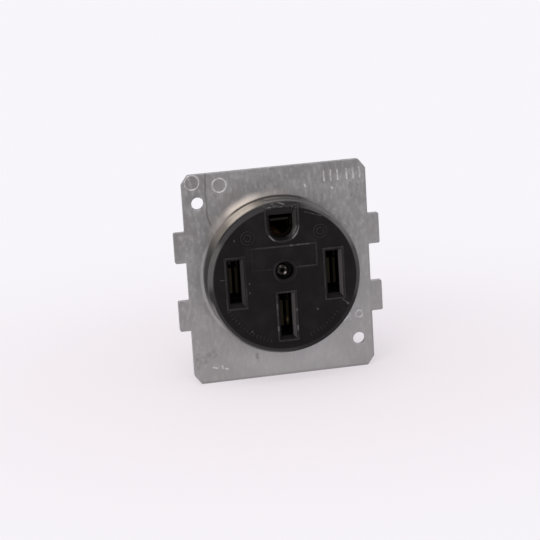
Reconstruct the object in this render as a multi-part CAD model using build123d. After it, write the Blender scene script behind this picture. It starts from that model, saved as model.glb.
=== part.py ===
from build123d import *
from math import cos, radians, sqrt
import os

# A flush receptacle with four slots: two hots, a neutral below and a ground above.
# Lengths are in millimetres. X runs to the right, Y back into the wall and Z up.
# The origin is on the axis of the face, in the plane of the strap's rear side.

# Mounting strap
strap_height = 74.0
strap_thickness = 1.6
strap_corner_side = 2.4
strap_corner_drop = 3.2
strap_corner_blend = 1.0
tab_reach = 3.9
tab_height = 10.8
tab_gap = 13.3
tab_tip_radius = 0.6
tab_root_radius = 0.4
mount_circle = 76.2
mount_hole = 4.3
mount_hole_margin = 3.0

# Outside of the moulded front
face_height = 9.4
skirt_base_radius = 26.8
skirt_draft = 0.32
shoulder_width = 1.7
shoulder_height = 0.7
shoulder_blend = 0.6
skirt_edge_blend = 0.3

# Raised borders and openings in the face
slot_width = 4.2
slot_height = 15.0
hot_offset = 17.15
neutral_offset = 13.3
funnel_depth = 2.0
border_side = 1.55
hot_border_end = 1.7
neutral_border_end = 1.35
border_line = 0.55
border_rise = 0.32
ground_hole_width = 8.1
ground_hole_height = 8.3
ground_border_side = 1.9
ground_border_bottom = 1.2
ground_border_top = 3.4

# Name frame, middle recess and its raised ring
name_frame_left = -11.4
name_frame_right = 11.6
name_frame_bottom = 3.4
name_frame_top = 11.6
name_frame_line = 0.5
name_frame_rise = 0.22
recess_height = 2.65
recess_radius = 3.0
recess_depth = 3.5
recess_ring_width = 0.75
recess_lip = 0.35

# Walls of the moulded front
face_wall = 3.6
skirt_wall = 3.0
rim_wall = 1.5
rim_reach = 1.2
pocket_side = 2.0
pocket_end = 0.7
ground_pocket_head = 0.8

# Contacts
contact_thickness = 1.0
leaf_width = 9.0
leaf_setback = 4.8
leaf_tip_gap = 1.1
pinch_gap = 0.6
pinch_setback = 6.4
pinch_length = 4.0
leaf_back_gap = 5.3
leaf_bend = 1.5
blade_reach = 21.7
blade_width = 12.7
blade_end_room = 0.8
bridge_length = 3.0
tail_width = 7.6
tail_short_of_lug = 0.75
ground_cradle_radius = 3.7
ground_cradle_sweep = 130.0
ground_lip = 0.7
ear_reach = 11.4
ear_height = 4.8

# Springs
spring_thickness = 0.8
clip_arm_drop = 3.5
clip_corner = 1.2
clip_inset = 0.4
ground_spring_width = 6.4
ground_spring_mouth = 1.3
ground_spring_lip = 0.4
ground_spring_back = 4.4

# Terminals
lug_length = 11.0
lug_side_wall = 1.5
lug_thread_wall = 3.5
lug_window_depth = 7.0
lug_window_corner = 2.5
lug_corner = 0.8
lug_recess = 1.2
screw_radius = 3.17
screw_length = 5.5
screw_slot = 1.2
screw_slot_depth = 1.5
screw_chamfer = 0.5
screw_backed_off = 0.1
screw_hole_room = 1.1

# Rear body
rear_wall = 1.8
pocket_floor = 1.6
rear_edge_cut = 1.2
washer_sink = 3.0

# Rivets
rivet_radius = 1.55
rivet_head_radius = 2.3
rivet_head_height = 1.0
rivet_bore = 0.75
rivet_bore_depth = 6.0
rivet_left_of_recess = 0.4
rivet_below_recess = 0.3
rivet_boss_wall = 2.7
rivet_head_blend = 0.8
rivet_tail_radius = 3.3
rivet_tail_height = 1.3
washer_radius = 4.4
washer_thickness = 0.8
ground_rivet_radius = 1.3
ground_rivet_head = 2.1
ground_rivet_head_height = 0.8
ground_rivet_offset = 9.0
ground_rivet_drop = 1.2

# Gaps between pieces
nest_gap = 0.3
slide_gap = 0.2
hole_gap = 0.15
thread_gap = 0.03

# Depths, counted along Y
strap_front = -strap_thickness
face_front = strap_front - face_height
shoulder_depth = face_front + shoulder_height
funnel_bottom = face_front + funnel_depth
face_back = face_front + face_wall
recess_floor = face_front + recess_depth
leaf_front = face_front + leaf_setback
pinch_front = face_front + pinch_setback
pinch_back = pinch_front + pinch_length
bridge_front = face_front + blade_reach + blade_end_room
bridge_back = bridge_front + bridge_length
floor_front = bridge_back + contact_thickness + nest_gap
floor_back = floor_front + pocket_floor
lug_front = floor_back + slide_gap
lug_back = lug_front + lug_length
tail_back = lug_back - tail_short_of_lug
rear_depth = lug_back + lug_recess
screw_depth = (lug_front + lug_back) / 2

# Distances from the axis of the face
strap_width = mount_circle / sqrt(2) + mount_hole + 2 * mount_hole_margin
skirt_top_radius = skirt_base_radius - skirt_draft
tail_outer = hot_offset - leaf_back_gap / 2
tail_inner = tail_outer - contact_thickness
lug_inner = tail_inner - lug_side_wall
window_outer = tail_inner + lug_window_depth
lug_outer = window_outer + lug_thread_wall
rear_radius = lug_outer + slide_gap + rear_wall
lug_width = tail_width + 2 * slide_gap + 2 * lug_side_wall

# Pockets, rims and the ground opening
pocket_width = slot_width + 2 * pocket_side
pocket_height = slot_height + 2 * pocket_end
rim_width = pocket_width + 2 * rim_wall
rim_height = pocket_height + 2 * rim_wall
ground_hole_bottom = tail_outer - ground_lip
ground_hole_top = ground_hole_bottom + ground_hole_height
cradle_centre = tail_outer + ground_cradle_radius
cradle_outer = ground_cradle_radius + contact_thickness
ground_pocket_half = cradle_outer + nest_gap
ground_pocket_bottom = tail_inner - nest_gap
ground_pocket_top = ground_hole_top + ground_pocket_head
ground_rivet_height = cradle_centre - ground_rivet_drop
rivet_x = -rivet_left_of_recess
rivet_z = recess_height - rivet_below_recess
blade_places = [(-hot_offset, 0), (hot_offset, 0), (0, -neutral_offset)]

# Turns about Y that carry the right-hand side to each terminal
right_turn = 0
top_turn = -90
left_turn = 180
bottom_turn = 90
terminal_turns = [right_turn, top_turn, left_turn, bottom_turn]


def facing(depth):
    return Plane(origin=(0, depth, 0), x_dir=(1, 0, 0), z_dir=(0, -1, 0))


def slab(outline, front, back):
    return extrude(facing(back) * outline, amount=back - front)


def post(x, z, radius, front, back):
    return slab(Pos(x, z) * Circle(radius), front, back)


def funnel(mouth, throat, mouth_depth, throat_depth):
    return loft([facing(mouth_depth) * mouth, facing(throat_depth) * throat])


def box_between(x, y, z):
    middle = [(low + high) / 2 for low, high in (x, y, z)]
    return Pos(*middle) * Box(x[1] - x[0], y[1] - y[0], z[1] - z[0])


def strip(points, thickness, width, bend):
    path = FilletPolyline(*points, radius=bend)
    return extrude(trace(path, line_width=thickness), amount=width / 2, both=True)


def turned(shape, turn):
    return Rot(0, turn, 0) * shape


def u_outline(width, bottom, top):
    half = width / 2
    sides = Polyline((-half, bottom + half), (-half, top), (half, top), (half, bottom + half))
    bowl = ThreePointArc((half, bottom + half), (0, bottom), (-half, bottom + half))
    return make_face([*sides.edges(), *bowl.edges()])


# Strap
def strap_outline():
    half, top = strap_width / 2, strap_height / 2
    side, drop = half - strap_corner_side, top - strap_corner_drop
    plate = make_face(Polyline(
        (side, top), (half, drop), (half, -drop), (side, -top),
        (-side, -top), (-half, -drop), (-half, drop), (-side, top), close=True))
    plate = fillet(plate.vertices(), strap_corner_blend)
    tab_middle = (tab_gap + tab_height) / 2
    tab_line = Rectangle(strap_width + 2 * tab_reach, tab_height)
    outline = plate + Pos(0, tab_middle) * tab_line + Pos(0, -tab_middle) * tab_line
    tip = strap_width / 2 + tab_reach / 2
    tips = [corner for corner in outline.vertices() if abs(corner.X) > tip]
    outline = fillet(tips, tab_tip_radius)
    tab_top = tab_gap / 2 + tab_height + tab_root_radius
    roots = [corner for corner in outline.vertices()
             if abs(abs(corner.X) - strap_width / 2) < tab_root_radius and abs(corner.Y) < tab_top]
    return fillet(roots, tab_root_radius)


def make_strap():
    outline = strap_outline()
    reach = mount_circle / 2 / sqrt(2)
    for side in (-1, 1):
        outline -= Pos(-side * reach, side * reach) * Circle(mount_hole / 2)
        outline -= Pos(side * ground_rivet_offset, ground_rivet_height) * Circle(
            ground_rivet_radius + hole_gap)
    for x, z in blade_places:
        outline -= Pos(x, z) * Rectangle(rim_width + 2 * nest_gap, rim_height + 2 * nest_gap)
    outline -= u_outline(2 * ground_pocket_half, ground_pocket_bottom, ground_pocket_top)
    outline -= Pos(rivet_x, rivet_z) * Circle(rivet_radius + hole_gap)
    return slab(outline, strap_front, 0)


# Moulded front
def front_shell():
    flat_radius = skirt_top_radius - shoulder_width
    profile = make_face(Polyline(
        (0, strap_front), (skirt_base_radius, strap_front), (skirt_top_radius, shoulder_depth),
        (flat_radius, face_front), (0, face_front), close=True))
    shoulder = [corner for corner in profile.vertices()
                if corner.X > flat_radius / 2 and corner.Y < strap_front - shoulder_height]
    profile = fillet(shoulder, shoulder_blend)
    skirt_edge = profile.vertices().sort_by(Axis.X)[-1]
    profile = fillet(skirt_edge, skirt_edge_blend)
    return revolve(profile, Axis.Y)


def blade_border(x, z, end):
    outer = Rectangle(slot_width + 2 * border_side, slot_height + 2 * end)
    inner = Rectangle(slot_width + 2 * (border_side - border_line), slot_height + 2 * (end - border_line))
    ridge = slab(Pos(x, z) * (outer - inner), face_front - border_rise, face_front)
    throat = Rectangle(slot_width, slot_height)
    cut = funnel(Pos(x, z) * inner, Pos(x, z) * throat, face_front, funnel_bottom)
    cut += slab(Pos(x, z) * throat, funnel_bottom, face_back)
    return ridge, cut


def ground_border():
    outer = u_outline(ground_hole_width + 2 * ground_border_side,
                      ground_hole_bottom - ground_border_bottom, ground_hole_top + ground_border_top)
    inner = u_outline(ground_hole_width + 2 * (ground_border_side - border_line),
                      ground_hole_bottom - ground_border_bottom + border_line,
                      ground_hole_top + ground_border_top - border_line)
    throat = u_outline(ground_hole_width, ground_hole_bottom, ground_hole_top)
    ridge = slab(outer - inner, face_front - border_rise, shoulder_depth + shoulder_blend)
    cut = funnel(inner, throat, face_front - border_rise, funnel_bottom)
    cut += slab(throat, funnel_bottom, face_back)
    return ridge, cut


def name_frame():
    width = name_frame_right - name_frame_left
    height = name_frame_top - name_frame_bottom
    middle = Pos((name_frame_left + name_frame_right) / 2, (name_frame_bottom + name_frame_top) / 2)
    line = middle * (Rectangle(width, height)
                     - Rectangle(width - 2 * name_frame_line, height - 2 * name_frame_line))
    ring_outer = recess_radius + recess_lip + recess_ring_width
    line -= Pos(0, recess_height) * Circle(ring_outer)
    line -= u_outline(ground_hole_width + 2 * ground_border_side,
                      ground_hole_bottom - ground_border_bottom, ground_hole_top)
    ring = Pos(0, recess_height) * (Circle(ring_outer) - Circle(recess_radius + recess_lip))
    return slab(line + ring, face_front - name_frame_rise, face_front)


def front_hollow():
    hollow = Circle(skirt_base_radius - skirt_wall)
    for x, z in blade_places:
        hollow -= Pos(x, z) * Rectangle(rim_width, rim_height)
    hollow -= Pos(rivet_x, rivet_z) * Circle(rivet_radius + rivet_boss_wall)
    hollow -= u_outline(2 * (ground_pocket_half + rim_wall - nest_gap),
                        ground_pocket_bottom - rim_wall, skirt_base_radius)
    return slab(hollow, face_back, strap_front)


def make_front():
    front = front_shell() - front_hollow()
    rim = Rectangle(rim_width, rim_height)
    pocket = Rectangle(pocket_width, pocket_height)
    for x, z in blade_places:
        front += slab(Pos(x, z) * rim, strap_front, rim_reach)
    for x, z in blade_places:
        front -= slab(Pos(x, z) * pocket, face_back, rim_reach)
    front -= slab(u_outline(2 * ground_pocket_half, ground_pocket_bottom, ground_pocket_top),
                  face_back, strap_front)
    borders = [blade_border(x, z, hot_border_end if z == 0 else neutral_border_end)
               for x, z in blade_places]
    borders.append(ground_border())
    for ridge, cut in borders:
        front += ridge
    for ridge, cut in borders:
        front -= cut
    front += name_frame()
    lip = funnel(Pos(0, recess_height) * Circle(recess_radius + recess_lip),
                 Pos(0, recess_height) * Circle(recess_radius), face_front, face_front + recess_lip)
    front -= lip
    front -= post(0, recess_height, recess_radius, face_front, recess_floor)
    return front - post(rivet_x, rivet_z, rivet_radius + hole_gap, recess_floor, strap_front)


# Rear body
def terminal_cavity():
    half = lug_width / 2 + slide_gap
    cavity = box_between((lug_inner - slide_gap, lug_outer + slide_gap), (floor_back, rear_depth),
                         (-half, half))
    hole_radius = screw_radius + screw_hole_room
    hole_length = rear_radius - lug_outer + rear_wall
    hole = Pos(lug_outer + hole_length / 2, screw_depth, 0) * Rot(0, 90, 0) * Cylinder(
        hole_radius, hole_length)
    return cavity + hole


def tail_passage(front, extra):
    half = tail_width / 2 + slide_gap
    return box_between((tail_inner - slide_gap, tail_outer + extra + slide_gap),
                       (front, floor_back), (-half, half))


def make_rear():
    rear = slab(Circle(rear_radius), 0, rear_depth)
    rear = chamfer(rear.edges().filter_by(GeomType.CIRCLE).sort_by(Axis.Y)[-1], rear_edge_cut)
    seat = Rectangle(rim_width + 2 * nest_gap, rim_height + 2 * nest_gap)
    pocket = Rectangle(pocket_width, pocket_height)
    for x, z in blade_places:
        rear -= slab(Pos(x, z) * seat, 0, rim_reach + nest_gap)
        rear -= slab(Pos(x, z) * pocket, rim_reach, floor_front)
    rear -= slab(u_outline(2 * ground_pocket_half, ground_pocket_bottom, ground_pocket_top),
                 0, floor_front)
    ear_room = Rectangle(2 * (ear_reach + nest_gap), ear_height + 2 * nest_gap)
    rear -= slab(Pos(0, ground_rivet_height) * ear_room, 0,
                 contact_thickness + ground_rivet_head_height + nest_gap)
    for turn in terminal_turns:
        rear -= turned(terminal_cavity(), turn)
        rear -= turned(tail_passage(floor_front, 0), turn)
    rear -= turned(tail_passage(bridge_front - slide_gap, spring_thickness), top_turn)
    rear -= post(rivet_x, rivet_z, washer_radius + nest_gap, rear_depth - washer_sink, rear_depth)
    return rear - post(rivet_x, rivet_z, rivet_radius + hole_gap, 0, rear_depth)


# Contacts
def leaf_pair():
    middle = contact_thickness / 2
    points = [(leaf_tip_gap / 2 + middle, leaf_front), (pinch_gap / 2 + middle, pinch_front),
              (pinch_gap / 2 + middle, pinch_back), (leaf_back_gap / 2 + middle, bridge_front),
              (leaf_back_gap / 2 + middle, bridge_back)]
    leaf = strip(points, contact_thickness, leaf_width, leaf_bend)
    half = leaf_back_gap / 2 + contact_thickness
    edge = leaf_width / 2
    bridge = box_between((-half, half), (bridge_front, bridge_back), (edge, edge + contact_thickness))
    return leaf + mirror(leaf, Plane.YZ) + bridge


def make_hot_contact():
    half = tail_width / 2
    tail = box_between((tail_inner, tail_outer), (bridge_back, tail_back), (-half, half))
    return Pos(hot_offset, 0, 0) * leaf_pair() + tail


def make_neutral_contact():
    half = tail_width / 2
    top = leaf_width / 2 + contact_thickness - neutral_offset
    drop_back = bridge_back + contact_thickness
    drop = box_between((-half, half), (bridge_back, drop_back), (-tail_outer, top))
    tail = box_between((-half, half), (drop_back, tail_back), (-tail_outer, -tail_inner))
    return Pos(0, 0, -neutral_offset) * leaf_pair() + drop + tail


def make_ground_contact():
    ring = Circle(cradle_outer) - Circle(ground_cradle_radius)
    lowest = cos(radians(ground_cradle_sweep / 2)) * ground_cradle_radius
    keep = Pos(0, -lowest - cradle_outer) * Rectangle(4 * cradle_outer, 2 * cradle_outer)
    cradle = slab(Pos(0, cradle_centre) * (ring & keep), leaf_front, bridge_front)
    half = tail_width / 2
    tail = box_between((-half, half), (bridge_front, tail_back), (tail_inner, tail_outer))
    ears = Pos(0, ground_rivet_height) * Rectangle(2 * ear_reach, ear_height)
    ears -= Pos(0, cradle_centre) * Circle(ground_cradle_radius)
    ears -= Pos(0, cradle_centre + cradle_outer) * Rectangle(2 * ground_cradle_radius, 2 * cradle_outer)
    for side in (-1, 1):
        ears -= Pos(side * ground_rivet_offset, ground_rivet_height) * Circle(
            ground_rivet_radius + hole_gap)
    return cradle + tail + slab(ears, 0, contact_thickness)


# Springs
def make_clip():
    inner = pinch_gap / 2 + contact_thickness
    outer = inner + spring_thickness
    top = blade_width / 2 + nest_gap + spring_thickness
    bottom = -clip_arm_drop
    outline = Pos(0, (top + bottom) / 2) * Rectangle(2 * outer, top - bottom)
    outline = fillet(outline.vertices().group_by(Axis.Y)[-1], clip_corner)
    inside = Pos(0, (top - spring_thickness + bottom) / 2) * Rectangle(
        2 * inner, top - spring_thickness - bottom)
    inside = fillet(inside.vertices().group_by(Axis.Y)[-1], clip_corner - spring_thickness)
    return slab(outline - inside, pinch_front + clip_inset, pinch_back - clip_inset)


def make_ground_spring():
    middle = spring_thickness / 2
    riser = bridge_back + middle - nest_gap
    foot = tail_outer + middle
    points = [(cradle_centre + ground_spring_mouth + ground_spring_lip, leaf_front),
              (cradle_centre + ground_spring_mouth, pinch_front),
              (cradle_centre + ground_spring_back, riser),
              (foot, riser), (foot, tail_back - slide_gap)]
    return turned(strip(points, spring_thickness, ground_spring_width, spring_thickness), top_turn)


# Terminals
def make_lug():
    middle = (lug_inner + lug_outer) / 2
    outline = Pos(middle, 0) * RectangleRounded(lug_outer - lug_inner, lug_width, lug_corner)
    window_width = lug_width - 2 * lug_side_wall
    window = Pos((tail_inner + window_outer) / 2, 0) * Rectangle(lug_window_depth, window_width)
    window = fillet(window.vertices().group_by(Axis.X)[-1], lug_window_corner)
    lug = slab(outline - window, lug_front, lug_back)
    thread = Pos((window_outer + lug_outer) / 2, screw_depth, 0) * Rot(0, 90, 0) * Cylinder(
        screw_radius + thread_gap, 2 * lug_thread_wall)
    return lug - thread


def make_screw():
    start = window_outer + screw_backed_off
    screw = Pos(start + screw_length / 2, screw_depth, 0) * Rot(0, 90, 0) * Cylinder(
        screw_radius, screw_length)
    screw = chamfer(screw.edges().filter_by(GeomType.CIRCLE), screw_chamfer)
    end = start + screw_length
    half = screw_slot / 2
    return screw - box_between((end - screw_slot_depth, end), (screw_depth - half, screw_depth + half),
                               (-screw_radius, screw_radius))


# Rivets
def make_centre_rivet():
    washer_back = rear_depth - washer_sink + washer_thickness
    head = post(rivet_x, rivet_z, rivet_head_radius, recess_floor - rivet_head_height, recess_floor)
    head = fillet(head.edges().filter_by(GeomType.CIRCLE).sort_by(Axis.Y)[0], rivet_head_blend)
    tail = post(rivet_x, rivet_z, rivet_tail_radius, washer_back, washer_back + rivet_tail_height)
    tail = fillet(tail.edges().filter_by(GeomType.CIRCLE).sort_by(Axis.Y)[-1], rivet_head_blend)
    rivet = head + post(rivet_x, rivet_z, rivet_radius, recess_floor, washer_back) + tail
    bore_end = recess_floor - rivet_head_height + rivet_bore_depth
    return rivet - post(rivet_x, rivet_z, rivet_bore, recess_floor - rivet_head_height, bore_end)


def make_washer():
    front = rear_depth - washer_sink
    washer = post(rivet_x, rivet_z, washer_radius, front, front + washer_thickness)
    return washer - post(rivet_x, rivet_z, rivet_radius + hole_gap, front, front + washer_thickness)


def make_ground_rivet(side):
    x = side * ground_rivet_offset
    rivet = post(x, ground_rivet_height, ground_rivet_radius, strap_front, contact_thickness)
    rivet += post(x, ground_rivet_height, ground_rivet_head,
                  strap_front - ground_rivet_head_height, strap_front)
    return rivet + post(x, ground_rivet_height, ground_rivet_head,
                        contact_thickness, contact_thickness + ground_rivet_head_height)


hot_contact = make_hot_contact()
clip = make_clip()
lug = make_lug()
screw = make_screw()
pieces = {
    "front_face": make_front(),
    "mounting_strap": make_strap(),
    "rear_body": make_rear(),
    "centre_rivet": make_centre_rivet(),
    "rivet_washer": make_washer(),
    "ground_rivets": Compound(children=[make_ground_rivet(side) for side in (-1, 1)]),
    "hot_contact_right": hot_contact,
    "hot_contact_left": mirror(hot_contact, Plane.YZ),
    "neutral_contact": make_neutral_contact(),
    "ground_contact": make_ground_contact(),
    "hot_spring_right": Pos(hot_offset, 0, 0) * clip,
    "hot_spring_left": Pos(-hot_offset, 0, 0) * clip,
    "neutral_spring": Pos(0, 0, -neutral_offset) * clip,
    "ground_spring": make_ground_spring(),
    "hot_lug_right": turned(lug, right_turn),
    "hot_lug_left": turned(lug, left_turn),
    "neutral_lug": turned(lug, bottom_turn),
    "ground_lug": turned(lug, top_turn),
    "hot_lug_screws": Compound(children=[turned(screw, right_turn), turned(screw, left_turn)]),
    "neutral_lug_screw": turned(screw, bottom_turn),
    "ground_lug_screw": turned(screw, top_turn),
}

os.makedirs("parts", exist_ok=True)
for name, piece in pieces.items():
    export_step(piece, f"parts/{name}.step")
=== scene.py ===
from math import cos, pi, radians, sin

import bmesh
import bpy
from mathutils import Matrix, Vector


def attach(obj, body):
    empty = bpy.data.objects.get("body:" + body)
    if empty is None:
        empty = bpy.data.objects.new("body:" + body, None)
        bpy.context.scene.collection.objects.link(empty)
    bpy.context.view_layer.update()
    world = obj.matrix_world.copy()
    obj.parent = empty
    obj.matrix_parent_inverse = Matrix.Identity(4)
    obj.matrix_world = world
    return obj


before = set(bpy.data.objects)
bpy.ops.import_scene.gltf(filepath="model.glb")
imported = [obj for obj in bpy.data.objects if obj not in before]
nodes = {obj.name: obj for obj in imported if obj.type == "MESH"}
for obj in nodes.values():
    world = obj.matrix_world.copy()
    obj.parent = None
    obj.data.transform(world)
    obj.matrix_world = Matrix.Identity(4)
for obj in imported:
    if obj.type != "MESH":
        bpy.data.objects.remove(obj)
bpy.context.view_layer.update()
print("frame loaded,", len(nodes), "CAD nodes")

millimetre = 0.001
faceFront = -11.0  # front of the moulded face along Y, in mm
strapFront = -1.6
lineCore = 0.3  # a drawn mark is at its full strength out to this share of its half width
spotCore = 0.4


# Shader tools
class Wire:
    def __init__(self, graph, socket):
        self.graph = graph
        self.socket = socket

    def math(self, operation, *values):
        return self.graph.node("ShaderNodeMath", {"operation": operation}, dict(enumerate(values)))

    def __add__(self, other):
        return self.math("ADD", self, other)

    def __radd__(self, other):
        return self.math("ADD", other, self)

    def __sub__(self, other):
        return self.math("SUBTRACT", self, other)

    def __rsub__(self, other):
        return self.math("SUBTRACT", other, self)

    def __mul__(self, other):
        return self.math("MULTIPLY", self, other)

    def __rmul__(self, other):
        return self.math("MULTIPLY", other, self)

    def __truediv__(self, other):
        return self.math("DIVIDE", self, other)

    def __rtruediv__(self, other):
        return self.math("DIVIDE", other, self)

    def __pow__(self, other):
        return self.math("POWER", self, other)

    def __rpow__(self, other):
        return self.math("POWER", other, self)

    def __or__(self, other):  # the stronger of two masks
        return self.math("MAXIMUM", self, other)

    def __ror__(self, other):
        return self.math("MAXIMUM", other, self)

    def __abs__(self):
        return self.math("ABSOLUTE", self)


class Graph:
    def __init__(self, tree):
        self.tree = tree
        self.tree.nodes.clear()

    def node(self, kind, settings=None, values=None, output=0):
        made = self.tree.nodes.new(kind)
        for key, value in (settings or {}).items():
            setattr(made, key, value)
        for key, value in (values or {}).items():
            if isinstance(value, Wire):
                self.tree.links.new(value.socket, made.inputs[key])
            elif isinstance(value, tuple) and len(value) == 3 and made.inputs[key].type == "RGBA":
                made.inputs[key].default_value = (*value, 1)
            else:
                made.inputs[key].default_value = value
        return Wire(self, made.outputs[output]) if len(made.outputs) else None

    def seen(self):  # 1 for the camera and for what glossy and clear surfaces show it
        path = self.node("ShaderNodeLightPath").socket.node.outputs
        camera, glossy, clear = [Wire(self, path[name]) for name in (
            "Is Camera Ray", "Is Glossy Ray", "Is Transmission Ray")]
        return camera | glossy | clear


class Finish(Graph):  # a material whose masks measure in mm from the part's origin
    def __init__(self, name):
        self.material = bpy.data.materials.new(name)
        self.material.use_nodes = True
        super().__init__(self.material.node_tree)
        self.place = self.node("ShaderNodeVectorMath", {"operation": "SCALE"}, {
            0: self.node("ShaderNodeTexCoord", output="Object"), "Scale": 1 / millimetre})
        self.x, self.y, self.z = self.split(self.place)
        self.radius = (self.x * self.x + self.z * self.z) ** 0.5

    def split(self, vector):
        parts = self.node("ShaderNodeSeparateXYZ", values={0: vector}).socket.node.outputs
        return [Wire(self, part) for part in parts]

    def noise(self, size, detail=2.0, rough=0.5, along=(1, 1, 1), shift=0.0):
        where = self.node("ShaderNodeVectorMath", {"operation": "MULTIPLY_ADD"}, {
            0: self.place, 1: along, 2: (shift, shift, shift)})
        return self.node("ShaderNodeTexNoise", {"noise_dimensions": "3D"}, {
            "Vector": where, "Scale": 1 / size, "Detail": detail, "Roughness": rough})

    def specks(self, spacing, radius, rarity, step=0.04):
        near = self.node("ShaderNodeTexVoronoi", {"feature": "F1"}, {
            "Vector": self.place, "Scale": 1 / spacing}, "Distance")
        chance = Wire(self, near.socket.node.outputs["Color"])
        return self.between(near, radius / spacing, radius / spacing * spotCore) * self.between(
            chance, rarity, rarity + step)

    def between(self, value, low, high, start=0.0, end=1.0):
        return self.node("ShaderNodeMapRange", {"interpolation_type": "SMOOTHSTEP"}, {
            0: value, 1: low, 2: high, 3: start, 4: end})

    def blend(self, mask, below, above):
        return self.node("ShaderNodeMix", {"data_type": "RGBA"}, {0: mask, 6: below, 7: above}, 2)

    # One side of the axis: degrees anticlockwise from +X, then a span of cosines from there
    def wedge(self, degrees, low, high, start=0.0, end=1.0):
        toward = (self.x * cos(radians(degrees)) + self.z * sin(radians(degrees))) / self.radius
        return self.between(toward, low, high, start, end)

    def away(self, x, z):
        across, up = self.x - x, self.z - z
        return (across * across + up * up) ** 0.5

    def spot(self, x, z, radius):
        return self.between(self.away(x, z), radius, radius * spotCore)

    def ring(self, x, z, radius, width):
        return self.between(abs(self.away(x, z) - radius), width, width * lineCore)

    def line(self, start, end, width):
        lengthX, lengthZ = end[0] - start[0], end[1] - start[1]
        square = lengthX ** 2 + lengthZ ** 2
        along = ((self.x - start[0]) * lengthX + (self.z - start[1]) * lengthZ) / square
        along = along.math("MINIMUM", along | 0.0, 1.0)
        across = self.x - (along * lengthX + start[0])
        up = self.z - (along * lengthZ + start[1])
        return self.between((across * across + up * up) ** 0.5, width, width * lineCore)

    def gather(self, draw, places):  # the strongest of many marks
        mask = 0.0
        for place in places:
            mask = draw(*place) | mask
        return mask

    def patch(self, degrees, low, high, share, depth=None):  # one side of the skirt, with its span along Y
        mask = self.wedge(degrees, low, high) * share
        return mask * self.between(self.y, *depth) if depth else mask

    def roundedNormal(self, radius):
        return self.node("ShaderNodeBevel", {"samples": 4}, {"Radius": radius * millimetre})

    def edge(self, rounded, low=0.0, high=0.25):
        flat = self.node("ShaderNodeNewGeometry", output="Normal")
        turn = self.node("ShaderNodeVectorMath", {"operation": "DOT_PRODUCT"}, {
            0: rounded, 1: flat}, "Value")
        return self.between(1.0 - turn, low, high)

    def bump(self, height, depth, below):
        return self.node("ShaderNodeBump", values={
            "Height": height, "Distance": depth * millimetre, "Strength": 1.0, "Normal": below})

    def surface(self, **values):
        shader = self.node("ShaderNodeBsdfPrincipled", values={
            key.replace("_", " "): value for key, value in values.items()})
        self.node("ShaderNodeOutputMaterial", values={"Surface": shader})
        return self.material


def dress(material, *names):
    for name in names:
        mesh = nodes[name].data
        mesh.materials.clear()
        mesh.materials.append(material)
        for polygon in mesh.polygons:
            polygon.use_smooth = True


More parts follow.
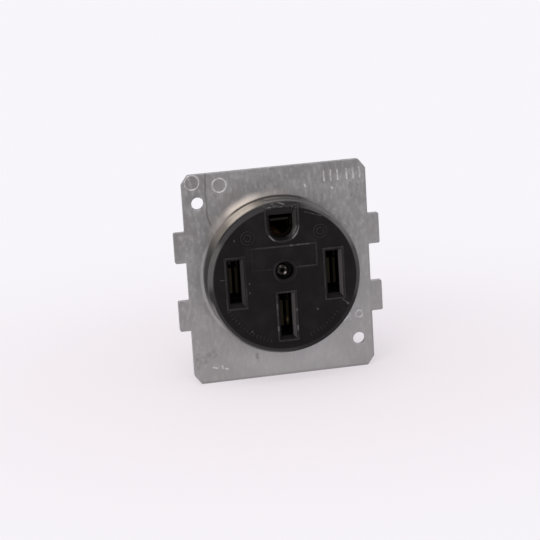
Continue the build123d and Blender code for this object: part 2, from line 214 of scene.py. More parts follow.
# Zinc plated strap: places are (x, z) in mm on its front. A span goes from where a mask is 0 to
# where it is 1, and a share is the most that it covers.
strap = {
    "zinc": (0.234, 0.229, 0.227),
    "dull": (0.176, 0.170, 0.168),
    "bright": (0.335, 0.330, 0.328),
    "metallic": 0.85,
    "roughness": 0.46,
    "edgeRadius": 0.25,
    "reliefDepth": 0.03,
    "grainHeight": 0.4,
    "fleckHeight": 0.3,
    "roughBlotch": 0.2,
    "roughGrain": 0.15,
    "frontSpan": (-1.2, -1.5),
    "blotchSize": 11.0,
    "blotchSpan": (0.30, 0.70),
    "fleckSize": 1.1,
    "fleckBright": (0.44, 0.78),
    "fleckBrightShare": 0.75,
    "fleckDull": (0.47, 0.28),
    "fleckDullShare": 0.7,
    "grainSize": 0.25,
    "wornSize": 1.3,
    "wornSpan": (0.32, 0.66),
    # Painted light: lighter towards the lower right, and a painted lighter patch in the middle of the lower
    # edge where the skirt's shadow falls
    "lowerLightTone": (0.365, 0.362, 0.361),
    "lowerTilt": 0.35,
    "lowerSpan": (34.0, -34.0),
    "lowerShare": 0.6,
    "underLightTone": (0.520, 0.517, 0.520),
    "underCentre": (3.0, -33.0),
    "underSpan": (24.0, 8.0),
    "underShare": 0.25,
    # Round the skirt: a dim arc, a lighter arc, a warm band of painted light reflected off the skirt, and a
    # dark seam of painted contact shadow
    "dimRadius": 32.0,
    "dimSpan": (2.4, 0.6),
    "dimWedge": (124, 0.90, 0.97),
    "dimShare": 0.4,
    "paleArcTone": (0.50, 0.49, 0.49),
    "paleArcSpan": (28.1, 27.3),
    "paleArcWedge": (188, 0.78, 0.90),
    "paleArcShare": 0.6,
    "reflectedBandTone": (0.780, 0.715, 0.650),
    "reflectedBandSpan": (30.4, 27.7),
    "reflectedBandCore": (115, 0.955, 1.0),
    "reflectedBandCoreShare": 0.65,
    "reflectedBandEnds": (115, 0.78, 0.96),
    "reflectedBandEndsShare": 0.3,
    "reflectedBandShare": 0.9,
    "reflectedBandDull": 0.6,  # less metallic there, so the painted reflected light shows brighter
    "gapShadowTone": (0.020, 0.017, 0.015),
    "gapShadowSpan": (27.5, 27.15),
    "gapShadowWedge": (97, 0.80, 0.92),
    "gapShadowShare": 0.9,
    "gapShadowDull": 0.8,
    # Marks: start, end and half width
    "stainAndEdgeTone": (0.150, 0.140, 0.138),
    "stainAndEdgeShare": 0.55,
    "smears": [((-24.6, 36.4), (-24.3, 31.6), 1.5), ((-31.0, -30.4), (-30.4, -27.0), 1.8),
               ((-29.0, -28.6), (-25.0, -26.5), 2.2), ((-9.8, -28.6), (-9.7, -31.0), 0.9),
               ((26.5, 28.9), (26.8, 24.2), 0.6), ((26.1, 28.1), (29.2, 28.0), 0.8),
               ((28.7, 27.1), (27.9, 23.7), 0.6)],
    "lowerHem": (-36.0, -36.5),
    "rightHem": (31.2, 31.7),
    "rightHemShare": 0.7,
    "hemShare": 0.45,
    "scratchTone": (0.100, 0.094, 0.090),
    "scratchShare": 0.65,
    "scratchWidth": 0.4,
    "scratchGrain": (0.2, 0.5, 0.5, 1.0),
    "scratch": [(-23.7, 36.8), (-23.85, 33.0), (-24.1, 30.0), (-23.85, 27.9), (-23.8, 25.9),
                (-23.95, 23.9), (-23.7, 21.4), (-23.2, 20.0), (-22.6, 18.9)],
    "lightTone": (0.62, 0.60, 0.62),
    "lightShare": 0.75,
    "edgeShare": 0.6,
    "glintShare": 0.8,
    "glints": [((10.5, 29.9), (10.7, 29.2), 0.4), ((19.9, 28.0), (20.2, 27.6), 0.4),
               ((-25.4, -31.5), (-24.0, -31.9), 0.4), ((-22.3, -31.2), (-22.0, -32.2), 0.35),
               ((-21.1, -32.4), (-20.3, -32.6), 0.45), ((21.9, -19.9), (23.4, -18.6), 0.4)],
    "stampWorn": 0.55,
    "stampEven": 0.2,
    "stampDepth": 2.0,
    "stampedRings": [(-28.6, 34.5, 2.5, 0.4), (-19.2, 32.7, 2.4, 0.4),
                     (27.3, -18.0, 1.2, 0.4)],  # x, z, radius, half width
    "barLean": 0.1,
    "barWidth": 0.42,
    "stampedBars": [(17.4, 32.3, 3.4), (19.8, 32.3, 3.4), (22.2, 32.3, 3.4), (25.4, 32.3, 3.4),
                    (27.7, 32.3, 3.4), (30.0, 32.3, 3.4), (24.2, -18.6, 2.4)],  # x, z, height
}


def strapTones(finish, front, blotch, fleck):
    colour = finish.blend(finish.between(blotch, *strap["blotchSpan"]), strap["dull"], strap["zinc"])
    bright = finish.between(fleck, *strap["fleckBright"]) * strap["fleckBrightShare"]
    colour = finish.blend(bright, colour, strap["bright"])
    dull = finish.between(fleck, *strap["fleckDull"]) * strap["fleckDullShare"]
    colour = finish.blend(dull, colour, strap["dull"])
    # Painted light towards the lower right, and over the skirt's shadow in the middle of the lower edge
    lowerLight = finish.between(finish.z - finish.x * strap["lowerTilt"], *strap["lowerSpan"])
    colour = finish.blend(lowerLight * strap["lowerShare"], colour, strap["lowerLightTone"])
    underLight = finish.between(finish.away(*strap["underCentre"]), *strap["underSpan"]) * front
    colour = finish.blend(underLight * strap["underShare"], colour, strap["underLightTone"])
    dim = finish.between(abs(finish.radius - strap["dimRadius"]), *strap["dimSpan"])
    dim = dim * finish.wedge(*strap["dimWedge"]) * front
    colour = finish.blend(dim * strap["dimShare"], colour, strap["dull"])
    # A lighter arc on the strap beside the skirt, on the left
    paleArc = finish.between(finish.radius, *strap["paleArcSpan"]) * finish.wedge(*strap["paleArcWedge"]) * front
    return finish.blend(paleArc * strap["paleArcShare"], colour, strap["paleArcTone"])


def stampedMarks(finish):
    bars = [((x, z - height / 2), (x - strap["barLean"], z + height / 2), strap["barWidth"])
            for x, z, height in strap["stampedBars"]]
    return finish.gather(finish.ring, strap["stampedRings"]) | finish.gather(finish.line, bars)


def makeStrapFinish():
    finish = Finish("strapZinc")
    front = finish.between(finish.y, *strap["frontSpan"])
    rounded = finish.roundedNormal(strap["edgeRadius"])
    blotch = finish.noise(strap["blotchSize"], 4.0, 0.55)
    fleck = finish.noise(strap["fleckSize"], 4.0, 0.6, along=(1, 1, 0.5))
    grain = finish.noise(strap["grainSize"], 2.0, 0.5)
    worn = finish.between(finish.noise(strap["wornSize"], 4.0, 0.65, shift=5.0), *strap["wornSpan"])
    colour = strapTones(finish, front, blotch, fleck)
    # Darker smears, and darker bands along the lower and right edges
    hems = finish.between(finish.z, *strap["lowerHem"])
    hems = hems | finish.between(finish.x, *strap["rightHem"]) * strap["rightHemShare"]
    stainsAndDarkEdges = (finish.gather(finish.line, strap["smears"]) * worn | hems * strap["hemShare"]) * front
    colour = finish.blend(stainsAndDarkEdges * strap["stainAndEdgeShare"], colour, strap["stainAndEdgeTone"])
    bends = strap["scratch"]
    steps = [(start, end, strap["scratchWidth"]) for start, end in zip(bends, bends[1:])]
    scratch = finish.gather(finish.line, steps) * finish.between(grain, *strap["scratchGrain"]) * front
    colour = finish.blend(scratch * strap["scratchShare"], colour, strap["scratchTone"])
    stamped = stampedMarks(finish) * front
    light = stamped * (worn * strap["stampWorn"] + strap["stampEven"])
    light = light | finish.gather(finish.line, strap["glints"]) * front * strap["glintShare"]
    light = light | finish.edge(rounded) * strap["edgeShare"]
    colour = finish.blend(light * strap["lightShare"], colour, strap["lightTone"])
    # Painted light: a warm band where the skirt reflects light onto the strap
    reflectedBand = finish.wedge(*strap["reflectedBandCore"]) * strap["reflectedBandCoreShare"]
    reflectedBand = reflectedBand + finish.wedge(*strap["reflectedBandEnds"]) * strap["reflectedBandEndsShare"]
    reflectedBand = reflectedBand * finish.between(finish.radius, *strap["reflectedBandSpan"]) * front
    colour = finish.blend(reflectedBand * strap["reflectedBandShare"], colour, strap["reflectedBandTone"])
    # Painted shadow: a dark line on the strap where the skirt meets it
    gapShadow = finish.between(finish.radius, *strap["gapShadowSpan"]) * finish.wedge(*strap["gapShadowWedge"]) * front
    colour = finish.blend(gapShadow * strap["gapShadowShare"], colour, strap["gapShadowTone"])
    rough = strap["roughness"] + (blotch - 0.5) * strap["roughBlotch"] + (grain - 0.5) * strap["roughGrain"]
    metal = strap["metallic"] - (reflectedBand * strap["reflectedBandDull"] | gapShadow * strap["gapShadowDull"])
    relief = grain * strap["grainHeight"] + fleck * strap["fleckHeight"]
    relief = relief - stamped * strap["stampDepth"] - scratch
    normal = finish.bump(relief, strap["reliefDepth"], rounded)
    return finish.surface(Base_Color=colour, Metallic=metal, Roughness=rough, Normal=normal)


dress(makeStrapFinish(), "mounting_strap")
print("strap dressed")

# Black moulding of the face and the rear body: places are (x, z) in mm on the face, depths are
# spans along Y, and a wedge is a direction in degrees with its span of cosines
moulding = {
    "black": (0.0050, 0.0040, 0.0042),
    "cloudTone": (0.0180, 0.0155, 0.0158),
    "worn": (0.070, 0.066, 0.067),
    "roughness": 0.46,
    "specular": 0.09,
    "coat": 0.6,
    "coatRoughness": 0.3,
    "edgeRadius": 0.18,
    "reliefDepth": 0.025,
    "grainHeight": 0.6,
    "cloudHeight": 0.4,
    "roughCloud": 0.3,
    "roughGrain": 0.1,
    "cloudSize": 6.0,
    "cloudSpan": (0.42, 0.75),
    "cloudShare": 0.35,
    "rubSize": 1.3,
    "grainSize": 0.35,
    "faceSpan": (24.95, 24.7),
    "faceDepth": (-1.0, -1.5),
    # Raised borders, paler on top (partly wear, partly painted highlight), with a painted highlight on the
    # sides of the ring round the recess, faint round the recess and at the frame's lower left
    "ridge": (0.024, 0.022, 0.0225),
    "ridgeDepth": (faceFront - 0.03, faceFront - 0.12),
    "ridgeShare": 0.8,
    "ridgePatchSize": 3.5,
    "ridgePatches": (0.36, 0.62, 0.5, 1.25),
    "recessRingHighlight": (0.15, 2.7, 3.95, 0.3),
    "recessRingHighlightSides": (1.6, 3.4),
    "clearCentre": (0.0, 2.65),
    "clearRidge": (4.3, 4.8, 0.1, 1.0),
    "clearEdges": (4.3, 4.8, 0.2, 1.0),
    "faintCentre": (-11.0, 4.6),
    "faintSpan": (4.5, 8.5, 0.3, 1.0),
    "edgeRub": (0.25, 0.65, 0.25, 0.8),
    "edgeWedge": (325, 0.70, 0.90, 1.0, 0.5),
    # Sloping mouths of the slots, painted paler as if lit, with more painted light where they face left and
    # painted shade where they face up, and the middle recess with painted shade on its wall
    "funnelStart": (-10.9, -10.7),
    "funnelEnd": (-8.8, -9.1),
    "funnelShare": 0.7,
    "litSlope": (0.050, 0.047, 0.048),
    "litSlopeRight": (0.085, 0.079, 0.081),
    "slopeChange": (-12.0, -2.0),
    "slopeFacing": (-0.3, -0.6),
    "slopeHeight": (17.5, 15.5, 0.3, 0.8),
    "topFacing": (0.3, 0.6),
    "topFacingShare": 0.6,
    "recessShade": (0.0014, 0.0012, 0.0012),
    "recessShadeCentre": (0.35, 2.72),
    "recessShadeSpan": (3.45, 3.3),
    "recessShadeDepth": (-10.99, -10.9),
    # Specks, chips, painted sheen highlights and scuffs
    "specks": (2.3, 0.22, 0.62),  # spacing, radius and how rare
    "speckDepth": (-10.4, -10.8),
    "speckShare": 0.5,
    "markShare": 0.8,
    "chipGrain": (0.3, 0.6),
    "chips": [((19.9, -9.6), (22.0, -11.6), 0.3), ((-22.5, 1.7), (-20.9, 1.6), 0.2),
              ((8.0, 22.6), (13.9, 20.5), 0.18)],
    "dots": [(10.7, -12.0, 0.5), (-12.5, -0.6, 0.35), (-12.6, -3.8, 0.35), (-16.8, 14.9, 0.4),
             (-12.5, -17.5, 0.4), (14.5, -6.3, 0.3), (-3.0, -17.0, 0.3), (21.4, -11.1, 0.6),
             (19.9, -9.7, 0.4)],
    "sheenHighlight": (0.150, 0.145, 0.148),
    "sheen": [((5.4, 17.6), (4.5, 14.9), 0.9, 0.7), ((4.3, 15.4), (3.7, 13.9), 0.8, 0.7),
              ((-4.6, 15.3), (-3.1, 13.4), 0.5, 1.0), ((-3.4, -8.8), (-3.4, -12.6), 0.4, 0.25),
              ((-3.4, -16.9), (-3.4, -18.0), 0.5, 0.4), ((3.4, -11.1), (3.4, -11.5), 0.6, 0.6),
              ((3.6, -17.2), (3.6, -18.4), 0.7, 0.45), ((2.5, 11.5), (2.9, 11.5), 0.5, 0.4),
              ((5.0, 11.5), (8.6, 11.5), 0.5, 0.25)],  # start, end, half width, share
    "scuff": (0.340, 0.330, 0.330),
    "scuffShare": 0.5,
    "scuffRub": (0.46, 0.64),
    "scuffDepth": (-9.4, -10.0),
    "scuffs": [((-5.6, 25.3), (-0.6, 25.2), 0.5), ((-0.6, 25.2), (5.0, 24.6), 0.25),
               ((4.8, 24.9), (5.1, 24.5), 0.5), ((-1.4, 26.8), (1.6, 25.5), 0.2),
               ((-4.4, 26.0), (-2.4, 26.2), 0.2)],
}


def faceTones(finish, face, rounded, cloud, rub):
    colour = finish.blend(finish.between(cloud, *moulding["cloudSpan"]) * moulding["cloudShare"],
                          moulding["black"], moulding["cloudTone"])
    fromRecess = finish.away(*moulding["clearCentre"])
    faint = finish.between(finish.away(*moulding["faintCentre"]), *moulding["faintSpan"])
    raised = finish.between(finish.y, *moulding["ridgeDepth"])
    # Painted highlight on the left and right sides of the ring round the recess
    ring = finish.ring(*moulding["recessRingHighlight"]) * raised
    ring = ring * finish.between(abs(finish.x - moulding["recessRingHighlight"][0]), *moulding["recessRingHighlightSides"])
    patchy = finish.noise(moulding["ridgePatchSize"], 3.0, 0.6, shift=3.0)
    ridge = raised * faint * finish.between(patchy, *moulding["ridgePatches"])
    ridge = ridge * finish.between(fromRecess, *moulding["clearRidge"])
    colour = finish.blend((ridge | ring) * moulding["ridgeShare"], colour, moulding["ridge"])
    # Painted light on the slot mouths, stronger on slopes that face left, and painted shade on slopes that
    # face up
    funnel = finish.between(finish.y, *moulding["funnelStart"]) * face
    funnel = funnel * finish.between(finish.y, *moulding["funnelEnd"])
    colour = finish.blend(funnel * moulding["funnelShare"], colour, moulding["ridge"])
    facing = finish.split(finish.node("ShaderNodeNewGeometry", output="Normal"))
    litSlope = finish.blend(finish.between(finish.x, *moulding["slopeChange"]), moulding["litSlope"],
                         moulding["litSlopeRight"])
    facingLeft = finish.between(facing[0], *moulding["slopeFacing"])
    facingLeft = facingLeft * finish.between(finish.z, *moulding["slopeHeight"])
    colour = finish.blend(funnel * facingLeft, colour, litSlope)
    facingUp = finish.between(facing[2], *moulding["topFacing"]) * moulding["topFacingShare"]
    colour = finish.blend(funnel * facingUp, colour, moulding["black"])
    # Painted shade: the wall of the middle recess is darkened nearly to black
    recessShade = finish.between(finish.away(*moulding["recessShadeCentre"]), *moulding["recessShadeSpan"]) * face
    colour = finish.blend(recessShade * finish.between(finish.y, *moulding["recessShadeDepth"]), colour, moulding["recessShade"])
    edges = finish.edge(rounded) * finish.between(rub, *moulding["edgeRub"]) * faint
    edges = edges * finish.between(fromRecess, *moulding["clearEdges"]) * finish.wedge(*moulding["edgeWedge"])
    return finish.blend(edges, colour, moulding["worn"]), ridge | funnel


def faceWear(finish, colour, face, ridgeOrFunnel, rub, grain):
    specks = finish.specks(*moulding["specks"]) * finish.between(finish.y, *moulding["speckDepth"])
    chips = finish.gather(finish.line, moulding["chips"]) * finish.between(grain, *moulding["chipGrain"])
    marks = specks * moulding["speckShare"] | chips | finish.gather(finish.spot, moulding["dots"])
    colour = finish.blend(marks * face * moulding["markShare"], colour, moulding["worn"])
    # Painted sheen highlights on the ridges and slot mouths
    sheen = finish.gather(lambda start, end, width, share: finish.line(start, end, width) * share,
                          moulding["sheen"])
    colour = finish.blend(sheen * ridgeOrFunnel, colour, moulding["sheenHighlight"])
    scuffs = finish.gather(finish.line, moulding["scuffs"]) * finish.between(rub, *moulding["scuffRub"])
    scuffs = scuffs * finish.between(finish.y, *moulding["scuffDepth"])
    return finish.blend(scuffs * moulding["scuffShare"], colour, moulding["scuff"])


# Dust and painted sheen on the skirt round the face. A patch is a wedge with its share and, unless it
# covers the whole skirt, its depth.
skirt = {
    "sideSpan": (25.7, 26.2),
    "outerSpan": (24.9, 25.2),
    "depth": (-1.4, -1.7),
    "patchy": (0.2, 0.6, 0.8, 1.0),
    "cleanSides": (7.0, 4.0),  # less dust above the ground opening
    "cleanRub": (0.40, 0.52),
    "dust": (0.560, 0.500, 0.430),
    "dustCore": (120, 0.965, 1.0, 0.6),
    "dustEnds": (120, 0.80, 0.93, 0.25),
    "dustTilt": 0.05,
    "dustDepth": (-8.9, -7.4),
    "dustLine": -4.9,
    "dustLineSpan": (0.9, 0.2),
    "dustLineShare": 0.2,
    "greyDustAndSheen": (0.300, 0.288, 0.288),
    "greyRight": (45, 0.82, 1.0, 0.42),
    "greySides": [(355, 0.95, 0.998, 0.24, (-2.5, -7.0)), (213, 0.925, 0.968, 0.5),
                  (193, 0.95, 0.99, 0.4, (-3.2, -1.9)), (238, 0.80, 0.92, 0.25, (-9.4, -9.8))],
    "greyOuter": [(36, 0.93, 1.0, 0.32, (-8.6, -9.6)), (58, 0.94, 1.0, 0.20, (-8.6, -9.6)),
                  (2, 0.90, 0.98, 0.12, (-9.0, -9.8)), (165, 0.93, 0.98, 0.22, (-8.8, -9.8))],
    "topMiddle": 1.5,
    "topSides": (7.5, 5.0),
    "topHeight": (0.0, 5.0),
    "topShare": 0.34,
    "topLines": [(-3.3, 1.3), (-7.4, 1.2)],  # Y and half width
    "topLineCore": 0.5,
    # Painted shadow at the skirt's base, where it meets the strap
    "gapShadowTone": (0.008, 0.007, 0.006),
    "gapShadowDepth": (-2.3, -1.9),
    "gapShadowWedge": (110, 0.80, 0.90),
    "gapShadowShare": 0.85,
    # Where the coat is thinner
    "settledShare": 0.6,
    "dullShare": 0.65,
    "dullLip": [(90, 0.2, 0.8, 1.0, (-8.0, -9.6)), (322, 0.62, 0.85, 1.0, (-8.6, -9.6))],
    "dullSide": (173, 0.93, 0.99, 1.0, (-3.0, -4.2)),
    "dullSideEnd": (-9.4, -8.2),
}


def skirtDustAndSheen(finish, side, outer, rub):
    clean = finish.between(abs(finish.x), *skirt["cleanSides"]) * finish.between(rub, *skirt["cleanRub"])
    clean = 1.0 - clean
    patchy = finish.between(rub, *skirt["patchy"])
    dust = finish.patch(*skirt["dustCore"]) + finish.patch(*skirt["dustEnds"])
    dust = dust * finish.between(finish.y - finish.x * skirt["dustTilt"], *skirt["dustDepth"])
    line = finish.between(abs(finish.y - skirt["dustLine"]), *skirt["dustLineSpan"])
    dust = dust * side * clean * patchy * (1.0 - line * skirt["dustLineShare"])
    top = finish.gather(lambda y, width: finish.between(abs(finish.y - y), width, skirt["topLineCore"]),
                        skirt["topLines"])
    top = top * finish.between(abs(finish.x - skirt["topMiddle"]), *skirt["topSides"])
    top = top * finish.between(finish.z, *skirt["topHeight"]) * skirt["topShare"]
    # Grey patches: dust, and painted sheen where the skirt and its rim catch light
    greyDustSheen = finish.patch(*skirt["greyRight"]) * clean | finish.gather(finish.patch, skirt["greySides"]) | top
    greyDustSheen = (greyDustSheen * side | finish.gather(finish.patch, skirt["greyOuter"]) * outer) * patchy
    return dust, greyDustSheen


def makeMouldingFinish():
    finish = Finish("blackMoulding")
    rounded = finish.roundedNormal(moulding["edgeRadius"])
    cloud = finish.noise(moulding["cloudSize"], 4.0, 0.6)
    rub = finish.noise(moulding["rubSize"], 4.0, 0.65, shift=7.0)
    grain = finish.noise(moulding["grainSize"], 2.0, 0.6)
    face = finish.between(finish.radius, *moulding["faceSpan"])
    face = face * finish.between(finish.y, *moulding["faceDepth"])
    colour, ridgeOrFunnel = faceTones(finish, face, rounded, cloud, rub)
    colour = faceWear(finish, colour, face, ridgeOrFunnel, rub, grain)
    depth = finish.between(finish.y, *skirt["depth"])
    side = finish.between(finish.radius, *skirt["sideSpan"]) * depth
    outer = finish.between(finish.radius, *skirt["outerSpan"]) * depth
    dust, greyDustSheen = skirtDustAndSheen(finish, side, outer, rub)
    colour = finish.blend(dust, colour, skirt["dust"])
    colour = finish.blend(greyDustSheen, colour, skirt["greyDustAndSheen"])
    # Painted shadow: the skirt's base is darkened where it meets the strap
    gapShadow = finish.between(finish.y, *skirt["gapShadowDepth"]) * side * finish.wedge(*skirt["gapShadowWedge"])
    colour = finish.blend(gapShadow * skirt["gapShadowShare"], colour, skirt["gapShadowTone"])
    rough = moulding["roughness"] + (cloud - 0.5) * moulding["roughCloud"]
    rough = rough + (grain - 0.5) * moulding["roughGrain"]
    relief = grain * moulding["grainHeight"] + cloud * moulding["cloudHeight"]
    normal = finish.bump(relief, moulding["reliefDepth"], rounded)
    dull = finish.patch(*skirt["dullSide"]) * finish.between(finish.y, *skirt["dullSideEnd"])
    dull = dull | finish.gather(finish.patch, skirt["dullLip"])
    coat = (1.0 - face) * (1.0 - (dust | greyDustSheen) * skirt["settledShare"])
    coat = coat * (1.0 - dull * skirt["dullShare"]) * moulding["coat"]
    return finish.surface(Base_Color=colour, Roughness=rough, Normal=normal, Coat_Weight=coat,
                          Specular_IOR_Level=moulding["specular"], Coat_Roughness=moulding["coatRoughness"])


mouldingFinish = makeMouldingFinish()
dress(mouldingFinish, "front_face", "rear_body")
print("moulding dressed")

# Plain raised rings and ticks on the face
faceMarks = {
    "rings": [(-12.2, 15.4, 2.3), (-12.2, 15.4, 1.2), (13.0, 15.4, 2.3), (13.0, 15.4, 1.2)],
    "ringSteps": 40,
    "line": 0.32,
    "rise": 0.14,
    "root": 0.06,
    "tickSpans": [(206.0, 254.0, 15), (291.0, 322.0, 10)],  # degrees anticlockwise from +X, ticks
    "tickRadius": 22.2,
    "tickLength": 1.3,
    "tickTop": 0.8,  # size of a tick's top as a share of its root
}


def addPrism(build, points, low, high, shrink):
    centre = Vector((sum(point.x for point in points), sum(point.y for point in points))) / len(points)
    rows = []
    for depth, scale in ((low, 1.0), (high, shrink)):
        row = []
        for point in points:
            moved = centre + (point - centre) * scale
            row.append(build.verts.new((moved.x * millimetre, depth * millimetre, moved.y * millimetre)))
        rows.append(row)
    count = len(points)
    for i in range(count):
        build.faces.new((rows[0][i], rows[0][(i + 1) % count], rows[1][(i + 1) % count], rows[1][i]))
    build.faces.new(rows[0][::-1])
    build.faces.new(rows[1])


def addRing(build, x, z, radius, line, low, high, steps):
    loops = []
    for reach, depth in ((radius - line / 2, low), (radius - line / 4, high),
                         (radius + line / 4, high), (radius + line / 2, low)):
        turns = [2 * pi * i / steps for i in range(steps)]
        loops.append([build.verts.new(((x + reach * cos(turn)) * millimetre, depth * millimetre,
                                       (z + reach * sin(turn)) * millimetre)) for turn in turns])
    for near, far in zip(loops, loops[1:] + loops[:1]):
        for i in range(steps):
            build.faces.new((near[i], near[(i + 1) % steps], far[(i + 1) % steps], far[i]))


def finishPiece(name, build, material):
    bmesh.ops.recalc_face_normals(build, faces=build.faces)
    mesh = bpy.data.meshes.new(name)
    build.to_mesh(mesh)
    build.free()
    mesh.materials.append(material)
    piece = bpy.data.objects.new(name, mesh)
    bpy.context.scene.collection.objects.link(piece)
    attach(piece, "root")


def makeFaceMarks():
    low, high = faceFront + faceMarks["root"], faceFront - faceMarks["rise"]
    rings = bmesh.new()
    for x, z, radius in faceMarks["rings"]:
        addRing(rings, x, z, radius, faceMarks["line"], low, high, faceMarks["ringSteps"])
    finishPiece("face_rings", rings, mouldingFinish)
    ticks = bmesh.new()
    half, reach = faceMarks["line"] / 2, faceMarks["tickLength"] / 2
    for first, last, count in faceMarks["tickSpans"]:
        for i in range(count):
            turn = radians(first + (last - first) * i / (count - 1))
            out, side = Vector((cos(turn), sin(turn))), Vector((-sin(turn), cos(turn)))
            middle = out * faceMarks["tickRadius"]
            corners = ((-1, -1), (1, -1), (1, 1), (-1, 1))
            points = [middle + out * a * reach + side * b * half for a, b in corners]
            addPrism(ticks, points, low, high, faceMarks["tickTop"])
    finishPiece("face_ticks", ticks, mouldingFinish)


makeFaceMarks()
print("face marks ready")

# Metals behind the face: the dark tone of the parts inside is painted shade; glints are x, z, radius and
# share
metals = {
    "rivetSteel": {
        "colour": (0.620, 0.600, 0.570),
        "stain": (0.400, 0.380, 0.360),
        "innerShade": (0.020, 0.017, 0.016),
        "roughness": 0.34,
        "glints": [(0.75, 1.20, 0.80, 1.0), (-0.95, 3.75, 0.50, 0.12), (0.80, 3.20, 0.45, 0.14),
                   (-1.9, 1.7, 0.5, 0.06)],
    },
    "contactBrass": {
        "colour": (0.400, 0.300, 0.150),
        "stain": (0.220, 0.160, 0.085),
        "innerShade": (0.016, 0.0135, 0.0085),
        "roughness": 0.42,
        "glints": [(0.5, -15.9, 1.0, 0.25)],
    },
    "groundBronze": {
        "colour": (0.480, 0.260, 0.120),
        "stain": (0.240, 0.130, 0.070),
        "innerShade": (0.009, 0.006, 0.004),
        "roughness": 0.40,
        "glints": [(-0.9, 14.7, 2.0, 1.0)],
        "glintDepth": (-5.4, -4.6),
    },
    "springSteel": {
        "colour": (0.300, 0.295, 0.290),
        "stain": (0.150, 0.145, 0.140),
        "innerShade": (0.010, 0.009, 0.008),
        "roughness": 0.42,
    },
    "lugAluminium": {"colour": (0.660, 0.660, 0.670), "stain": (0.420, 0.420, 0.420), "roughness": 0.38},
    "screwBrass": {"colour": (0.620, 0.470, 0.200), "stain": (0.360, 0.260, 0.120), "roughness": 0.30},
    "screwNickel": {"colour": (0.640, 0.630, 0.610), "stain": (0.380, 0.370, 0.360), "roughness": 0.28},
}
metalGrain = {
    "edgeRadius": 0.15,
    "stainSize": 2.5,
    "stainSpan": (0.4, 0.72),
    "roughStain": 0.3,
    "roughInnerShade": 0.1,
    "grainSize": 0.25,
    "grainDepth": 0.012,
    "innerShadeDepth": (20.0, 16.0),  # painted shade from the front back to here
}
greenScrew = {
    "green": (0.035, 0.20, 0.075),
    "darkGreen": (0.02, 0.10, 0.045),
    "bare": (0.42, 0.40, 0.36),
    "metallic": 0.6,
    "roughness": 0.32,
    "wearSize": 1.2,
    "wearSpan": (0.45, 0.7),
    "wearShare": 0.4,
    "edgeShare": 0.6,
}


def makeMetalFinish(name):
    metal = metals[name]
    finish = Finish(name)
    rounded = finish.roundedNormal(metalGrain["edgeRadius"])
    stain = finish.noise(metalGrain["stainSize"], 4.0, 0.6)
    grain = finish.noise(metalGrain["grainSize"], 2.0, 0.5)
    colour = finish.blend(finish.between(stain, *metalGrain["stainSpan"]), metal["colour"], metal["stain"])
    rough = metal["roughness"] + (stain - 0.5) * metalGrain["roughStain"]
    # Painted shade darkens these parts in front of a given depth; on the rivet it is partly its own dark
    # finish. Painted glints stay bright.
    if "innerShade" in metal:
        glints = finish.gather(lambda x, z, radius, share: finish.spot(x, z, radius) * share,
                               metal.get("glints", []))
        if "glintDepth" in metal:
            glints = glints * finish.between(finish.y, *metal["glintDepth"])
        innerShade = finish.between(finish.y, *metalGrain["innerShadeDepth"]) * (1.0 - glints)
        colour = finish.blend(innerShade, colour, metal["innerShade"])
        rough = rough + innerShade * metalGrain["roughInnerShade"]
    return finish.surface(Base_Color=colour, Metallic=1.0, Roughness=rough,
                          Normal=finish.bump(grain, metalGrain["grainDepth"], rounded))


def makeGreenFinish():
    finish = Finish("screwGreen")
    rounded = finish.roundedNormal(metalGrain["edgeRadius"])
    wear = finish.between(finish.noise(greenScrew["wearSize"], 4.0, 0.6), *greenScrew["wearSpan"])
    colour = finish.blend(wear * greenScrew["wearShare"], greenScrew["green"], greenScrew["darkGreen"])
    colour = finish.blend(finish.edge(rounded) * greenScrew["edgeShare"], colour, greenScrew["bare"])
    return finish.surface(Base_Color=colour, Metallic=greenScrew["metallic"],
                          Roughness=greenScrew["roughness"], Normal=rounded)


dress(makeMetalFinish("rivetSteel"), "centre_rivet", "rivet_washer", "ground_rivets")
dress(makeMetalFinish("contactBrass"), "hot_contact_right", "hot_contact_left", "neutral_contact")
dress(makeMetalFinish("groundBronze"), "ground_contact")
dress(makeMetalFinish("springSteel"), "hot_spring_right", "hot_spring_left", "neutral_spring",
      "ground_spring")
dress(makeMetalFinish("lugAluminium"), "hot_lug_right", "hot_lug_left", "neutral_lug", "ground_lug")
dress(makeMetalFinish("screwBrass"), "hot_lug_screws")
dress(makeMetalFinish("screwNickel"), "neutral_lug_screw")
dress(makeGreenFinish(), "ground_lug_screw")
print("metals dressed")

# Floor and world
studio = {
    "floorHeight": -37.05,
    "floorRadius": 6000.0,
    "floorSegments": 96,
    "paper": (0.833, 0.793, 0.830),
    # painted shade: the floor's glow is darker near the object
    "shadedNearPaper": (0.902, 0.860, 0.898),
    "backdrop": (0.938, 0.915, 0.960),
    "shadowShare": 0.45,  # how much of the lamps' shading shows on the floor under the object
    "fadeStart": 40.0,
    "fadeEnd": 165.0,
    "toneEnd": 240.0,
    "worldTint": (1.0, 0.985, 1.0),
    "worldLight": 0.50,
}


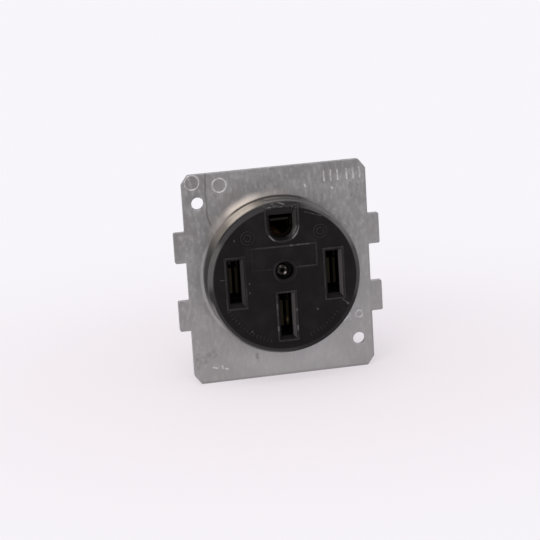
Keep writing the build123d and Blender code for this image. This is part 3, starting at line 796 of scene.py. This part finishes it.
def makeFloor():
    build = bmesh.new()
    bmesh.ops.create_circle(build, cap_ends=True, segments=studio["floorSegments"],
                            radius=studio["floorRadius"] * millimetre)
    mesh = bpy.data.meshes.new("floor")
    build.to_mesh(mesh)
    build.free()
    floor = bpy.data.objects.new("floor", mesh)
    floor.location = (0, 0, studio["floorHeight"] * millimetre)
    bpy.context.scene.collection.objects.link(floor)
    finish = Finish("floorPaper")
    reach = (finish.x * finish.x + finish.y * finish.y) ** 0.5
    fade = finish.between(reach, studio["fadeStart"], studio["fadeEnd"], 1.0 - studio["shadowShare"], 1.0)
    # Painted shade: the glow darkens towards the object
    tone = finish.blend(finish.between(reach, studio["fadeStart"], studio["toneEnd"]), studio["shadedNearPaper"],
                        studio["backdrop"])
    lit = finish.node("ShaderNodeBsdfDiffuse", values={"Color": studio["paper"]})
    glow = finish.node("ShaderNodeEmission", values={"Color": tone, "Strength": 1.0})
    mixed = finish.node("ShaderNodeMixShader", values={0: fade * finish.seen(), 1: lit, 2: glow})
    finish.node("ShaderNodeOutputMaterial", values={"Surface": mixed})
    mesh.materials.append(finish.material)


def makeWorld():
    world = bpy.data.worlds.new("studioWorld")
    bpy.context.scene.world = world
    world.use_nodes = True
    sky = Graph(world.node_tree)
    soft = sky.node("ShaderNodeBackground", values={
        "Color": studio["worldTint"], "Strength": studio["worldLight"]})
    plain = sky.node("ShaderNodeBackground", values={"Color": studio["backdrop"]})
    mixed = sky.node("ShaderNodeMixShader", values={0: sky.seen(), 1: soft, 2: plain})
    sky.node("ShaderNodeOutputWorld", values={"Surface": mixed})


makeFloor()
makeWorld()
print("floor and world ready")

# Lamps: watts, size and place in mm; each faces the part's origin
lamps = {
    "topBox": {"power": 3.1, "size": 700.0, "place": (-120.0, -60.0, 820.0), "tint": (1.0, 0.985, 0.99)},
    "leftBox": {"power": 1.4, "size": 300.0, "place": (-420.0, -560.0, 330.0), "tint": (1.0, 0.93, 0.87)},
    "frontBox": {"power": 2.6, "size": 600.0, "place": (-120.0, -900.0, 420.0), "tint": (1.0, 0.985, 0.98)},
    "rearBox": {"power": 0.25, "size": 500.0, "place": (250.0, 620.0, 420.0), "tint": (0.98, 0.98, 1.0)},
}


def makeLamps():
    for name, lamp in lamps.items():
        light = bpy.data.lights.new(name, "AREA")
        light.energy = lamp["power"]
        light.size = lamp["size"] * millimetre
        light.color = lamp["tint"]
        holder = bpy.data.objects.new(name, light)
        holder.location = Vector(lamp["place"]) * millimetre
        holder.rotation_euler = (-holder.location).to_track_quat("-Z", "Y").to_euler()
        holder.visible_camera = False
        bpy.context.scene.collection.objects.link(holder)


makeLamps()
print("lamps ready")

# Camera of the photograph: the aim lies on the strap's front, angles are in degrees
view = {
    "aim": (-3.353, strapFront, 1.084),
    "distance": 700.47,
    "azimuth": 10.629,
    "down": 14.434,
    "roll": -3.55,
    "lens": 135.375,
    "sensor": 36.0,
    "nearest": 10.0,
}


def makeCamera():
    turn = (Matrix.Rotation(radians(-view["azimuth"]), 4, "Z")
            @ Matrix.Rotation(radians(90 - view["down"]), 4, "X")
            @ Matrix.Rotation(radians(view["roll"]), 4, "Z"))
    back = turn @ Vector((0, 0, view["distance"] * millimetre))
    data = bpy.data.cameras.new("photoCamera")
    data.lens = view["lens"]
    data.sensor_width = view["sensor"]
    data.clip_start = view["nearest"] * millimetre
    camera = bpy.data.objects.new("photoCamera", data)
    camera.matrix_world = Matrix.Translation(Vector(view["aim"]) * millimetre + back) @ turn
    bpy.context.scene.collection.objects.link(camera)
    bpy.context.scene.camera = camera


makeCamera()
bpy.context.scene.view_settings.view_transform = "Standard"
